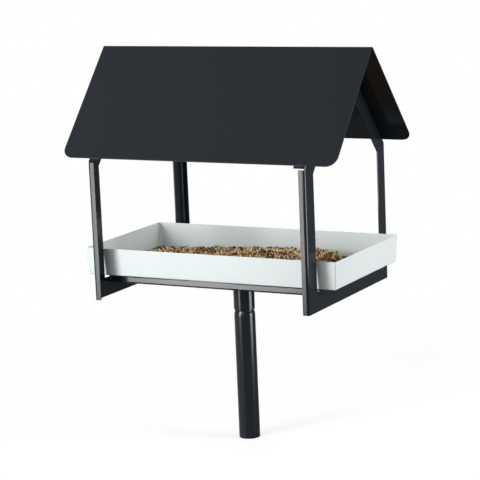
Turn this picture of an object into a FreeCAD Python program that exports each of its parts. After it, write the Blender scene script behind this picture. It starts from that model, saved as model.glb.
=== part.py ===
import FreeCAD, Part
import math
import os

# Bird table: a folded steel roof stands on two identical end frames. Two rails between the frames
# carry a seed tray that slides out endways, and the whole head turns on the top of a round pole.
# Millimetres. X runs along the ridge, -Y is the front and Z is up. The origin is the middle of the
# pole's open lower end.

V = FreeCAD.Vector
tiny = 1e-6

# Sheet and its bends
sheet = 1.5
frame_bend_inside = 2.0
rail_bend_inside = 1.0
ridge_bend_inside = 1.5

# Roof
roof_overhang = 41.5
roof_eave_setback = 2.0
roof_rise = 137.0
roof_corner_radius = 15.0
eave_above_tray = 163.0

# End frames
frame_span = 317.0
frame_depth = 248.0
bar_width = 25.0
post_flange = 9.0
rafter_flange = 16.0
flange_relief = 1.5
ridge_relief = 6.0
window_corner_radius = 1.5

# Seed tray
tray_overhang = 26.5
tray_height = 37.0
tray_flare = 2.6
tray_sheet = 1.2
tray_bend_inside = 1.0
tray_corner_radius = 1.2
tray_side_clearance = 0.8
tray_above_crossbar = 3.2

# Heap of seed
seed_height = 20.0
seed_left_height = 8.5
seed_rise_length = 200.0
seed_side_run = 36.0
seed_end_run = 15.0
seed_side_margin = 9.0
seed_left_margin = 9.0
seed_right_margin = 54.0
seed_lump_height = 2.0
seed_lump_length = 75.0
seed_facet_length = 31.0

# Rails and the bearer between them
rail_height = 11.0
rail_depth = 15.0
rail_setback = 36.0
bearer_width = 80.0
bearer_sheet = 2.0
bearer_end_clearance = 0.5
bearer_top_clearance = 1.0
bearer_bend_inside = 1.0

# Pole and the socket that turns on it
tray_above_pole_end = 235.0
pole_diameter = 28.6
pole_wall = 1.2
pole_turning_clearance = 0.05
pole_section_straight = 171.0
pole_shoulder_height = 6.0
socket_rim_gap = 2.0
socket_rim_radius = 0.9
plate_side = 74.0
plate_thickness = 4.0
plate_corner_radius = 8.0
plate_bolt_spacing = 52.0
weld_leg = 3.0

# Fasteners
small_thread = 4.0
small_nut_flats = 7.0
small_nut_height = 3.2
small_washer_diameter = 9.0
small_washer_height = 0.8
small_head_diameter = 7.6
small_head_height = 2.2
small_key_flats = 2.5
small_key_depth = 1.3
bolt_thread = 6.0
bolt_nut_flats = 10.0
bolt_nut_height = 5.0
bolt_washer_diameter = 12.0
bolt_washer_height = 1.6
bolt_head_diameter = 10.5
bolt_head_height = 3.3
bolt_key_flats = 4.0
bolt_key_depth = 2.0
thread_end = 1.0
hole_clearance = 0.25
nut_clearance = 0.05
roof_stud_inset = 10.0
roof_stud_from_eave = 40.0
roof_stud_from_ridge = 40.0
bearer_screw_spacing = 50.0
rail_edge_to_screw = 4.5
rail_edge_to_stud = 5.5

# Heights and half sizes that follow
roof_length = frame_span + 2 * roof_overhang
roof_depth = frame_depth - 2 * roof_eave_setback
tray_length = frame_span + 2 * tray_overhang
slope_angle = math.atan2(roof_rise, roof_depth / 2)
slope_length = math.hypot(roof_rise, roof_depth / 2)
ridge_bend_outside = ridge_bend_inside + sheet
frame_bend_outside = frame_bend_inside + sheet
rail_bend_outside = rail_bend_inside + sheet
tray_base = tray_above_pole_end
tray_floor = tray_base + tray_sheet
ridge_top = tray_base + eave_above_tray + roof_rise
frame_top = ridge_top - sheet / math.cos(slope_angle)
frame_bottom = tray_base - tray_above_crossbar - bar_width
half_span = frame_span / 2
half_depth = frame_depth / 2
post_inside = half_depth - bar_width
frame_eave = frame_top - half_depth * math.tan(slope_angle)
tray_half_length = tray_length / 2
tray_half_width = post_inside - tray_side_clearance
rail_top = tray_base
rail_bottom = rail_top - rail_height
rail_front = -half_depth + rail_setback
rail_back = rail_front + rail_depth
rail_half_length = half_span - sheet
bearer_bottom = rail_bottom + sheet
bearer_floor = bearer_bottom + bearer_sheet
bearer_top = rail_top - sheet - bearer_top_clearance
bearer_half_length = -rail_front - rail_bend_outside - bearer_end_clearance
plate_bottom = bearer_bottom - plate_thickness
pole_radius = pole_diameter / 2
socket_bore = pole_radius - pole_wall
spigot_radius = socket_bore - pole_turning_clearance
shoulder_top = pole_section_straight + pole_shoulder_height
socket_bottom = shoulder_top + socket_rim_gap


def block(low, high):
    return Part.makeBox(high.x - low.x, high.y - low.y, high.z - low.z, low)


def face_of(edges):
    return Part.Face(Part.Wire(Part.__sortEdges__(edges)))


def rounded_face(corners):
    """A flat face from (point, radius) pairs: each corner is rounded, or sharp where its radius is 0."""
    edges, starts, ends = [], [], []
    for i, (corner, radius) in enumerate(corners):
        back = (corners[i - 1][0] - corner).normalize()
        ahead = (corners[(i + 1) % len(corners)][0] - corner).normalize()
        half = back.getAngle(ahead) / 2
        reach = radius / math.tan(half)
        start, end = corner + back * reach, corner + ahead * reach
        if radius > 0:
            inward = (back + ahead).normalize()
            edges.append(arc(start, corner + inward * (radius / math.sin(half) - radius), end))
        starts.append(start)
        ends.append(end)
    for end, start in zip(ends, starts[1:] + starts[:1]):
        if end.distanceToPoint(start) > tiny:
            edges.append(line(end, start))
    return face_of(edges)


def polygon(points):
    return Part.Face(Part.makePolygon(points + points[:1]))


def line(a, b):
    return Part.makeLine(a, b)


def arc(a, middle, b):
    return Part.Arc(a, middle, b).toShape()


def group(solids):
    return Part.makeCompound(solids)


def half_turned(shape):
    turned = shape.copy()
    turned.rotate(V(0, 0, 0), V(0, 0, 1), 180)
    return turned


def rounded(solid, radius, wanted):
    edges = [e for e in solid.Edges if wanted(e.BoundBox)]
    return solid.makeFillet(radius, edges)


def save(name, shape):
    shape.exportStep("parts/" + name + ".step")


def ring(outer, inner, base, direction, height):
    outside = Part.makeCylinder(outer, height, base, direction)
    return outside.cut(Part.makeCylinder(inner, height, base, direction))


def hex_bar(flats, height, base, direction):
    """A hexagonal bar along direction, with two of its flats facing up and down when it lies level."""
    corner = flats / math.sqrt(3)
    angles = [math.radians(60 * i + 30) for i in range(6)]
    points = [V(corner * math.cos(a), corner * math.sin(a), 0) for a in angles]
    bar = polygon(points).extrude(V(0, 0, height))
    bar.Placement = FreeCAD.Placement(base, FreeCAD.Rotation(V(0, 0, 1), direction))
    return bar


def hex_nut(thread, flats, height, base, direction):
    bore = Part.makeCylinder(thread / 2 + nut_clearance, height, base, direction)
    return hex_bar(flats, height, base, direction).cut(bore)


def button_screw(thread, head_diameter, head_height, key_flats, key_depth, length, seat):
    """A domed screw that points up from seat, where its head meets the work."""
    edge, foot = V(head_diameter / 2, 0, 0), V(0, 0, -head_height)
    sphere = (edge.x ** 2 + head_height ** 2) / (2 * head_height)
    half = math.asin(edge.x / sphere) / 2
    middle = V(sphere * math.sin(half), 0, sphere - head_height - sphere * math.cos(half))
    profile = [line(foot, V(0, 0, 0)), line(V(0, 0, 0), edge), arc(edge, middle, foot)]
    head = face_of(profile).revolve(V(0, 0, 0), V(0, 0, 1), 360)
    key = hex_bar(key_flats, key_depth, foot, V(0, 0, 1))
    screw = head.fuse(Part.makeCylinder(thread / 2, length)).cut(key)
    screw.translate(seat)
    return screw


def slope_placement():
    """Local x runs along the ridge, y down the rear slope from the ridge, z out of the roof."""
    turn = FreeCAD.Rotation(V(1, 0, 0), -math.degrees(slope_angle))
    return FreeCAD.Placement(V(0, 0, ridge_top), turn)


def on_both_slopes(local_shapes):
    """Places shapes on the rear slope and repeats them on the front one."""
    rear = []
    for shape in local_shapes:
        placed = shape.copy()
        placed.Placement = slope_placement().multiply(placed.Placement)
        rear.append(placed)
    return rear + [half_turned(shape) for shape in rear]


def roof_slope():
    """One flat slope, from the ridge bend to the eave, with the eave's two corners rounded."""
    half, r = roof_length / 2, roof_corner_radius
    start = ridge_bend_outside * math.tan(slope_angle)
    corners = [(V(-half, start, 0), 0), (V(half, start, 0), 0), (V(half, slope_length, 0), r),
               (V(-half, slope_length, 0), r)]
    return rounded_face(corners).extrude(V(0, 0, -sheet))


def ridge_bend():
    """The rounded fold that joins the two slopes."""
    centre = V(-roof_length / 2, 0, ridge_top - ridge_bend_outside / math.cos(slope_angle))

    def at(radius, angle):
        return centre + V(0, radius * math.sin(angle), radius * math.cos(angle))

    outer, inner, a = ridge_bend_outside, ridge_bend_inside, slope_angle
    edges = [arc(at(outer, -a), at(outer, 0), at(outer, a)), line(at(outer, a), at(inner, a)),
             arc(at(inner, a), at(inner, 0), at(inner, -a)), line(at(inner, -a), at(outer, -a))]
    return face_of(edges).extrude(V(roof_length, 0, 0))


def roof_panel():
    rear, front = on_both_slopes([roof_slope()])
    return ridge_bend().fuse([rear, front]).removeSplitter()


def folded_edge(start, end, inward, width):
    """A flange and its bend along one edge of the right end frame, from start to end in (y, z)."""
    def at(n, d):
        return V(half_span - d, start[0] + n * inward[0], start[1] + n * inward[1])

    corners = [(at(0, 0), frame_bend_outside), (at(0, width), 0), (at(sheet, width), 0),
               (at(sheet, sheet), frame_bend_inside), (at(frame_bend_outside, sheet), 0),
               (at(frame_bend_outside, 0), 0)]
    return rounded_face(corners).extrude(V(0, end[0] - start[0], end[1] - start[1]))


def frame_web():
    """The flat house-shaped plate of an end frame, up to its bends, with the window cut out."""
    out, tan, cos = frame_bend_outside, math.tan(slope_angle), math.cos(slope_angle)

    def outline(half_width, bottom, rafter_inset):
        apex = frame_top - rafter_inset / cos
        eave = apex - half_width * tan
        corners = [(-half_width, bottom), (half_width, bottom), (half_width, eave), (0, apex),
                   (-half_width, eave)]
        points = [V(half_span, y, z) for y, z in corners]
        return polygon(points).extrude(V(-sheet, 0, 0))

    window = outline(post_inside, frame_bottom + bar_width, bar_width)
    window = rounded(window, window_corner_radius, lambda b: max(b.YLength, b.ZLength) < tiny)
    return outline(half_depth - out, frame_bottom, out).cut(window)


def end_frame_right():
    cos, sin = math.cos(slope_angle), math.sin(slope_angle)
    start, end = flange_relief, half_depth / cos - ridge_relief
    parts = []
    for side in (-1, 1):
        foot = (side * half_depth, frame_bottom)
        head = (side * half_depth, frame_eave - flange_relief)
        parts.append(folded_edge(foot, head, (-side, 0), post_flange))
        low = (side * (half_depth - start * cos), frame_eave + start * sin)
        high = (side * (half_depth - end * cos), frame_eave + end * sin)
        parts.append(folded_edge(low, high, (-side * sin, -cos), rafter_flange))
    frame = frame_web().fuse(parts)
    holes = [Part.makeCylinder(small_thread / 2 + hole_clearance, 3 * sheet, V(x, y, -3 * sheet))
             for x, y in roof_stud_places()]
    return frame.cut(on_both_slopes(holes)).removeSplitter()


def roof_stud_places():
    x = half_span - roof_stud_inset
    low = slope_length - roof_stud_from_eave
    return [(sx * x, y) for sx in (-1, 1) for y in (roof_stud_from_ridge, low)]


def roof_fixings():
    """Studs under the roof, each with its washer and nut below the rafter flange."""
    down = V(0, 0, -1)
    length = sheet + small_washer_height + small_nut_height + thread_end
    studs, washers, nuts = [], [], []
    for x, y in roof_stud_places():
        under_roof = -sheet
        under_flange = under_roof - sheet
        under_washer = under_flange - small_washer_height
        studs.append(Part.makeCylinder(small_thread / 2, length, V(x, y, under_roof), down))
        washers.append(ring(small_washer_diameter / 2, small_thread / 2 + hole_clearance,
                            V(x, y, under_flange), down, small_washer_height))
        nuts.append(hex_nut(small_thread, small_nut_flats, small_nut_height,
                            V(x, y, under_washer), down))
    return [group(on_both_slopes(shapes)) for shapes in (studs, washers, nuts)]


def rail_stud_place():
    return rail_back - rail_edge_to_stud, (rail_top + rail_bottom) / 2


def front_rail():
    """A channel that opens to the rear, with an end tab at each end and two screw holes below."""
    t, out, inn = sheet, rail_bend_outside, rail_bend_inside

    def at(y, z):
        return V(-rail_half_length, y, z)

    front, back, low, high = rail_front, rail_back, rail_bottom, rail_top
    corners = [(at(back, high), 0), (at(front, high), out), (at(front, low), out), (at(back, low), 0),
               (at(back, low + t), 0), (at(front + t, low + t), inn), (at(front + t, high - t), inn),
               (at(back, high - t), 0)]
    rail = rounded_face(corners).extrude(V(2 * rail_half_length, 0, 0))
    tabs = [block(V(x, front + t, low + t), V(x + t, back, high - t))
            for x in (-rail_half_length, rail_half_length - t)]
    bore = small_thread / 2 + hole_clearance
    holes = [Part.makeCylinder(bore, t, V(x, y, low)) for x, y in bearer_screw_places()]
    stud_y, stud_z = rail_stud_place()
    stud_line = V(-rail_half_length, stud_y, stud_z)
    holes.append(Part.makeCylinder(bore, 2 * rail_half_length, stud_line, V(1, 0, 0)))
    return rail.fuse(tabs).cut(holes).removeSplitter()


def rail_fixings():
    """Studs on the insides of the end frames, each with a nut behind the rail's end tab."""
    y, z = rail_stud_place()
    length = sheet + small_nut_height + thread_end
    inward = V(-1, 0, 0)
    stud = Part.makeCylinder(small_thread / 2, length, V(rail_half_length, y, z), inward)
    seat = V(rail_half_length - sheet, y, z)
    nut = hex_nut(small_thread, small_nut_flats, small_nut_height, seat, inward)
    return [group(at_four_corners(shape)) for shape in (stud, nut)]


def at_four_corners(shape):
    across = shape.mirror(V(0, 0, 0), V(1, 0, 0))
    return [shape, across, half_turned(shape), half_turned(across)]


def bearer_screw_places():
    y = rail_back - rail_edge_to_screw
    return [(-bearer_screw_spacing / 2, y), (bearer_screw_spacing / 2, y)]


def plate_bolt_places():
    h = plate_bolt_spacing / 2
    return [(-h, -h), (h, -h), (h, h), (-h, h)]


def centre_bearer():
    """A shallow channel across the two rails, standing on their lower flanges."""
    w, l, t = bearer_width / 2, bearer_half_length, bearer_sheet
    out = bearer_bend_inside + t
    body = block(V(-w, -l, bearer_bottom), V(w, l, bearer_top))
    body = rounded(body, out, lambda b: b.YLength > l and b.ZMax < bearer_bottom + tiny)
    hollow = block(V(-w + t, -l, bearer_floor), V(w - t, l, bearer_top))
    hollow = rounded(hollow, bearer_bend_inside,
                     lambda b: b.YLength > l and b.ZMax < bearer_floor + tiny)
    holes = []
    for x, y in bearer_screw_places():
        hole = Part.makeCylinder(small_thread / 2 + hole_clearance, t, V(x, y, bearer_bottom))
        holes += [hole, half_turned(hole)]
    for x, y in plate_bolt_places():
        holes.append(Part.makeCylinder(bolt_thread / 2 + hole_clearance, t, V(x, y, bearer_bottom)))
    return body.cut(hollow).cut(holes)


def bearer_fixings():
    """Domed screws up through the rails' lower flanges and the bearer, and their nuts."""
    length = sheet + bearer_sheet + small_nut_height + thread_end
    screws, nuts = [], []
    for x, y in bearer_screw_places():
        screw = button_screw(small_thread, small_head_diameter, small_head_height, small_key_flats,
                             small_key_depth, length, V(x, y, rail_bottom))
        nut = hex_nut(small_thread, small_nut_flats, small_nut_height, V(x, y, bearer_floor), V(0, 0, 1))
        screws += [screw, half_turned(screw)]
        nuts += [nut, half_turned(nut)]
    return [group(screws), group(nuts)]


def socket_plate():
    h = plate_side / 2
    plate = block(V(-h, -h, plate_bottom), V(h, h, bearer_bottom))
    plate = rounded(plate, plate_corner_radius, lambda b: max(b.XLength, b.YLength) < tiny)
    holes = [Part.makeCylinder(bolt_thread / 2 + hole_clearance, plate_thickness, V(x, y, plate_bottom))
             for x, y in plate_bolt_places()]
    return plate.cut(holes)


def plate_fixings():
    """Domed bolts up through the plate and the bearer, with washers below and nuts above."""
    length = bolt_washer_height + plate_thickness + bearer_sheet + bolt_nut_height + thread_end
    bolts, washers, nuts = [], [], []
    for x, y in plate_bolt_places():
        seat = V(x, y, plate_bottom - bolt_washer_height)
        bolts.append(button_screw(bolt_thread, bolt_head_diameter, bolt_head_height, bolt_key_flats,
                                  bolt_key_depth, length, seat))
        washers.append(ring(bolt_washer_diameter / 2, bolt_thread / 2 + hole_clearance, seat,
                            V(0, 0, 1), bolt_washer_height))
        nuts.append(hex_nut(bolt_thread, bolt_nut_flats, bolt_nut_height, V(x, y, bearer_floor),
                            V(0, 0, 1)))
    return [group(shapes) for shapes in (bolts, washers, nuts)]


def socket_tube():
    """The upper tube under the plate, with its lower rim rounded."""
    height = plate_bottom - socket_bottom
    tube = ring(pole_radius, socket_bore, V(0, 0, socket_bottom), V(0, 0, 1), height)
    return rounded(tube, socket_rim_radius,
                   lambda b: b.ZMax < socket_bottom + tiny and b.XLength > 2 * socket_bore + pole_wall)


def socket_weld():
    """The fillet weld between the plate and the tube."""
    r, z = pole_radius, plate_bottom
    bead = polygon([V(r, 0, z), V(r + weld_leg, 0, z), V(r, 0, z - weld_leg)])
    return bead.revolve(V(0, 0, 0), V(0, 0, 1), 360)


def shoulder_arc(radius):
    """A curve that leaves a tube of this radius smoothly and draws it in to the spigot."""
    drop = pole_radius - spigot_radius
    bend = (drop ** 2 + pole_shoulder_height ** 2) / (2 * drop)
    half = math.asin(pole_shoulder_height / bend) / 2
    middle = V(radius - bend + bend * math.cos(half), 0, pole_section_straight + bend * math.sin(half))
    return arc(V(radius, 0, pole_section_straight), middle, V(radius - drop, 0, shoulder_top))


def pole_section():
    """A pole tube whose top is drawn in at a rounded shoulder to a spigot for the socket."""
    def wall(radius, spigot):
        foot, top = V(radius, 0, 0), V(spigot, 0, plate_bottom)
        straight = line(foot, V(radius, 0, pole_section_straight))
        return foot, top, [straight, shoulder_arc(radius), line(V(spigot, 0, shoulder_top), top)]

    outer_foot, outer_top, outside = wall(pole_radius, spigot_radius)
    inner_foot, inner_top, inside = wall(socket_bore, spigot_radius - pole_wall)
    profile = face_of(outside + inside + [line(outer_foot, inner_foot), line(outer_top, inner_top)])
    return profile.revolve(V(0, 0, 0), V(0, 0, 1), 360)


def flared_block(half_x, half_y, z0, z1, inset):
    """A block whose four sides lean out from an inset base to half_x and half_y at its top."""
    def corners(hx, hy, z):
        return [V(-hx, -hy, z), V(hx, -hy, z), V(hx, hy, z), V(-hx, hy, z)]

    low, high = corners(half_x - inset, half_y - inset, z0), corners(half_x, half_y, z1)
    sides = [polygon([low[i], low[(i + 1) % 4], high[(i + 1) % 4], high[i]]) for i in range(4)]
    return Part.Solid(Part.Shell(sides + [polygon(low), polygon(high)]))


def seed_tray():
    """A folded tray with leaning walls and closed corners."""
    top = tray_base + tray_height
    outer = flared_block(tray_half_length, tray_half_width, tray_base, top, tray_flare)
    outer = rounded(outer, tray_corner_radius, lambda b: b.ZLength > tray_height / 2)
    outer = rounded(outer, tray_bend_inside + tray_sheet, lambda b: b.ZMax < tray_base + tiny)
    lean = tray_flare / tray_height
    inset = tray_flare - lean * tray_sheet
    half_x, half_y = tray_half_length - tray_sheet, tray_half_width - tray_sheet
    inner = flared_block(half_x, half_y, tray_floor, top, inset)
    inner = rounded(inner, tray_bend_inside, lambda b: b.ZMax < tray_floor + tiny)
    return outer.cut(inner)


def heap_surface(left, right, half_width):
    """The heap's top as a function of x and y: steep ends, sloping sides, a crest that rises to the right."""
    def surface(x, y):
        near = min((x - left) / seed_end_run, (right - x) / seed_end_run,
                   (half_width - abs(y)) / seed_side_run, 1.0)
        rise = min(1.0, (x - left) / seed_rise_length)
        crest = seed_left_height + (seed_height - seed_left_height) * rise
        turns = 2 * math.pi / seed_lump_length
        hollow = seed_lump_height * near * (1 + math.sin(turns * x) * math.cos(turns * y)) / 2
        return V(x, y, tray_floor + crest * math.sqrt(1 - (1 - near) ** 2) - hollow)

    return surface


def stations(low, high, run):
    """Places across the heap: its foot and a quarter of the run at each end, and equal facets between."""
    step = run / 4
    level = high - low - 2 * run
    facets = max(1, round(level / seed_facet_length))
    between = [low + run + level * i / facets for i in range(facets + 1)]
    return [low, low + step] + between + [high - step, high]


def seed_mix():
    """The heap of loose seed on the tray's floor."""
    left = -tray_half_length + tray_flare + tray_sheet + seed_left_margin
    right = tray_half_length - tray_flare - tray_sheet - seed_right_margin
    half_width = tray_half_width - tray_flare - tray_sheet - seed_side_margin
    surface = heap_surface(left, right, half_width)
    rows = stations(-half_width, half_width, seed_side_run)
    columns = stations(left, right, seed_end_run)
    grid = [[surface(x, y) for y in rows] for x in columns]
    faces = []
    for near, far in zip(grid, grid[1:]):
        for a, b, c, d in zip(near, far, far[1:], near[1:]):
            faces += [polygon([a, b, c]), polygon([a, c, d])]
    foot = grid[0] + [row[-1] for row in grid[1:]] + grid[-1][-2::-1] + [row[0] for row in grid[-2:0:-1]]
    faces.append(polygon(foot))
    return Part.Solid(Part.Shell(faces)).removeSplitter()


def build():
    os.makedirs("parts", exist_ok=True)
    right = end_frame_right()
    rail = front_rail()
    roof_studs, roof_washers, roof_nuts = roof_fixings()
    rail_studs, rail_nuts = rail_fixings()
    bearer_screws, bearer_nuts = bearer_fixings()
    plate_bolts, plate_washers, plate_nuts = plate_fixings()
    nodes = {
        "roof_panel": roof_panel(),
        "roof_studs": roof_studs,
        "roof_washers": roof_washers,
        "roof_nuts": roof_nuts,
        "end_frame_right": right,
        "end_frame_left": half_turned(right),
        "front_rail": rail,
        "rear_rail": half_turned(rail),
        "rail_studs": rail_studs,
        "rail_nuts": rail_nuts,
        "centre_bearer": centre_bearer(),
        "bearer_screws": bearer_screws,
        "bearer_nuts": bearer_nuts,
        "socket_plate": socket_plate(),
        "plate_bolts": plate_bolts,
        "plate_washers": plate_washers,
        "plate_nuts": plate_nuts,
        "socket_tube": socket_tube(),
        "socket_weld": socket_weld(),
        "pole_section": pole_section(),
        "seed_tray": seed_tray(),
        "seed_mix": seed_mix(),
    }
    for name, shape in nodes.items():
        print(name, len(shape.Solids), "solids", round(shape.Volume, 1), "mm3", shape.isValid())
        save(name, shape)


build()
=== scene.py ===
"""Bird table: a black roof and frames of folded steel and a white tray of seed, which turn on a pole."""

import math
from collections import namedtuple

import bmesh
import bpy
from bpy.props import FloatProperty, FloatVectorProperty, IntProperty, PointerProperty
from mathutils import Matrix, Vector, noise
from mathutils.bvhtree import BVHTree


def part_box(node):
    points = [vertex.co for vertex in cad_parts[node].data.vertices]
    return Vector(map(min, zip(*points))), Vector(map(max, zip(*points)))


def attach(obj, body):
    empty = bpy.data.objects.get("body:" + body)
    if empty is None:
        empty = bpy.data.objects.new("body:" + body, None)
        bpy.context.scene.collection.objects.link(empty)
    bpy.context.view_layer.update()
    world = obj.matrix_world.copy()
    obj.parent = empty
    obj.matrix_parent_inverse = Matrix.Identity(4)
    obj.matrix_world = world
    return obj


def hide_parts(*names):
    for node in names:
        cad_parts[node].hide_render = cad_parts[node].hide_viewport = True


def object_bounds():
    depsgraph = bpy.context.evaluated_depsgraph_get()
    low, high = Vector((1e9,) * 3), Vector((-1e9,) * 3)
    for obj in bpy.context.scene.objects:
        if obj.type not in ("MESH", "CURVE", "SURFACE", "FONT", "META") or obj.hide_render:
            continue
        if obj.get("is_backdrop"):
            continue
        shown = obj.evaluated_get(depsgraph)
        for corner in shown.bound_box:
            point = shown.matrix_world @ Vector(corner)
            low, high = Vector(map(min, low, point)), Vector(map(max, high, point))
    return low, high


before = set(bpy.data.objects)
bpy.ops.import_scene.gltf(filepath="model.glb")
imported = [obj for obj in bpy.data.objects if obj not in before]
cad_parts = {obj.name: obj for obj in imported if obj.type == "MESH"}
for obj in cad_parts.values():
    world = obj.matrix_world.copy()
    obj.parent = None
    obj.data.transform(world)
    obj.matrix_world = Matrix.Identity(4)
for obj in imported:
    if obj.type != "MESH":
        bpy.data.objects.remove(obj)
cad_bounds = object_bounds()

bl_info = {
    "name": "Bird Table",
    "version": (1, 0, 0),
    "blender": (4, 5, 0),
    "location": "3D View > Sidebar > Bird Table",
    "description": "Finishes, seed, fasteners and studio for a folded steel bird table",
    "category": "Object",
}

MM = 0.001

Solid = namedtuple("Solid", "centre axis side height width")


def linear(hex_colour):
    """The linear RGB of an sRGB hex value such as #2B2D30."""
    channels = [int(hex_colour[i:i + 2], 16) / 255 for i in (1, 3, 5)]
    return tuple(c / 12.92 if c <= 0.04045 else ((c + 0.055) / 1.055) ** 2.4 for c in channels)


def length(name, description, millimetres):
    return FloatProperty(name=name, description=description, default=millimetres * MM,
                         min=0.0, unit="LENGTH", precision=5)


def colour(name, description, hex_colour):
    return FloatVectorProperty(name=name, description=description, default=linear(hex_colour),
                               subtype="COLOR", min=0.0, max=1.0)


def angle(name, description, degrees):
    return FloatProperty(name=name, description=description, default=math.radians(degrees),
                         subtype="ANGLE")


def pixels(name, description, value):
    return FloatProperty(name=name, description=description, default=value, subtype="PIXEL")


def share(name, description, value):
    return FloatProperty(name=name, description=description, default=value, min=0.0, max=1.0,
                         subtype="FACTOR")


class BirdTableCoats(bpy.types.PropertyGroup):
    """The two powder coats, the dust and painted shade in the tray and the plating of the fasteners."""

    black: colour("Black coat", "Anthracite powder coat of the roof, frames and pole", "#1F252C")
    white: colour("White coat", "Cool white powder coat of the tray", "#ECF4F4")
    # Dust also gives the colour of the painted shade along the folds at the tray walls' feet
    dust: colour("Dust", "Dark dust of seed on the tray's floor", "#565049")
    zinc: colour("Zinc", "Bright zinc plate of the nuts, studs and screws", "#C6CACE")
    black_roughness: share("Black roughness", "Roughness of the black coat", 0.17)
    white_roughness: share("White roughness", "Roughness of the white coat", 0.3)
    peel_width: length("Peel width", "Distance between the ripples that the coat dries with", 2.4)
    peel_depth: length("Peel depth", "Height of those ripples", 0.012)
    # This height also bounds the painted shade that darkens the walls' feet
    dust_and_shade_height: length("Dust height", "How far the dust reaches up the walls from the floor", 3.2)
    # This width is that of the painted shade that darkens the folds along the walls' feet
    fold_shade_width: length("Dust fold", "Width of the dust that lies along the walls' feet", 9)
    dust_patch: length("Dust patch", "Width of the places where dust has gathered", 13)


class BirdTableSheets(bpy.types.PropertyGroup):
    """How the tray is folded, and how cut edges are finished."""

    eased_edge: length("Eased edge", "Radius that the coat gives to a cut edge", 0.2)
    tray_flare: length("Tray flare", "How far each tray wall leans out over its height", 2.6)
    tray_sheet: length("Tray sheet", "Thickness of the tray's sheet", 1.2)
    tray_bend: length("Tray bend", "Inside radius of the tray's folds", 1.0)
    corner_gap: length("Corner gap", "Open seam between two walls at a corner of the tray", 0.45)


class BirdTableSeed(bpy.types.PropertyGroup):
    """The loose seed in the tray."""

    end_corner: length("End corner", "Radius of the heap's corners at its right end, seen from above", 42)
    unevenness: length("Unevenness", "Height of the lumps in the heap's surface", 1.6)
    lump_width: length("Lump width", "Width of those lumps", 15)
    bed_cell: length("Bed cell", "Spacing of the points of the heap's surface", 2.5)
    grain_layer: length("Grain layer", "Thickness of the layer of loose grains", 3)
    grain_spacing: length("Grain spacing", "Least distance between two grains", 3.0)
    patch_width: length("Patch width", "Width of the places where one kind of grain has gathered", 22)
    patchiness: share("Patchiness", "How far the kinds of grain keep apart", 0.35)
    thin_end: length("Thin end", "Height of the bed below which its grains leave the floor bare", 1.5)
    spilled: share("Spilled", "Share of the floor beside the heap that has grains", 0.035)
    smallest: share("Smallest", "Size of the smallest grain of a kind against its largest", 0.72)
    random_seed: IntProperty(name="Random seed", description="Start of all random draws", default=7)


class BirdTableFixings(bpy.types.PropertyGroup):
    """Details of the fasteners and the weld."""

    thread_depth: share("Thread depth", "Depth of a thread as a share of its pitch", 0.55)
    chamfer: angle("Chamfer", "Slope of a nut's chamfer", 30)
    weld_ripples: IntProperty(name="Weld ripples", description="Ripples round the weld bead", default=44)
    weld_ripple_height: length("Weld ripple height", "Height of each ripple", 0.3)


class BirdTableStudio(bpy.types.PropertyGroup):
    """Camera and light. An azimuth turns from straight in front of the object, to the right."""

    camera_place: FloatVectorProperty(name="Camera place", description="Where the camera stands",
                                      default=(1.21694, -2.27226, 0.75783), unit="LENGTH")
    camera_yaw: angle("Yaw", "Turn of the camera to the left", 28.224)
    camera_pitch: angle("Pitch", "Upward tilt of the camera", -10.851)
    camera_roll: angle("Roll", "Turn of the camera about its view", -2.425)
    focal_pixels: pixels("Focal length", "Focal length in photograph pixels", 1951.83)
    centre_pixel_x: pixels("Centre x", "Pixel that the camera's axis meets, from the left", 239.674)
    centre_pixel_y: pixels("Centre y", "Pixel that the camera's axis meets, from the top", 246.576)
    backdrop_azimuth: angle("Backdrop", "Azimuth of the white backdrop's middle", -152)
    ceiling_light: share("Ceiling light", "Dim light from the left of the ceiling", 0.35)
    ceiling_right: share("Ceiling light at right", "Dim light from the rest of the ceiling", 0.28)
    ground_light: share("Ground light", "Dim light from below", 0.12)


class BirdTableSettings(bpy.types.PropertyGroup):
    """Everything that can be set on the bird table."""

    coats: PointerProperty(type=BirdTableCoats)
    sheets: PointerProperty(type=BirdTableSheets)
    seed: PointerProperty(type=BirdTableSeed)
    fixings: PointerProperty(type=BirdTableFixings)
    studio: PointerProperty(type=BirdTableStudio)


def settings():
    return bpy.context.scene.bird_table


def in_use(sockets, key=0):
    """The socket of this name or number, among those that the node's settings leave in use."""
    live = [socket for socket in sockets if socket.enabled]
    return live[key] if isinstance(key, int) else next(socket for socket in live if socket.name == key)


def add_node(tree, kind, inputs=None, **values):
    """Adds a node with its settings. An input takes a value, an output, or a node's first output."""
    node = tree.nodes.new(kind)
    for name, value in values.items():
        setattr(node, name, value)
    for key, value in (inputs or {}).items():
        socket = in_use(node.inputs, key)
        if isinstance(value, bpy.types.Node):
            value = in_use(value.outputs)
        if isinstance(value, bpy.types.NodeSocket):
            tree.links.new(value, socket)
        else:
            socket.default_value = (*value, 1.0) if socket.type == "RGBA" else value
    return node


def material_of(name, surface, *values):
    """The material of this name. Its first use makes it, from the shader that surface adds to its tree."""
    if name not in bpy.data.materials:
        made = bpy.data.materials.new(name)
        made.use_nodes = True
        tree = made.node_tree
        tree.nodes.clear()
        add_node(tree, "ShaderNodeOutputMaterial", {"Surface": surface(tree, *values)})
    return bpy.data.materials[name]


def spots(tree, width, detail=2.0):
    """Soft random spots of about this width in metres, from 0 to 1."""
    place = add_node(tree, "ShaderNodeTexCoord").outputs["Object"]
    return add_node(tree, "ShaderNodeTexNoise", {"Vector": place, "Scale": 1 / width, "Detail": detail})


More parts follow.
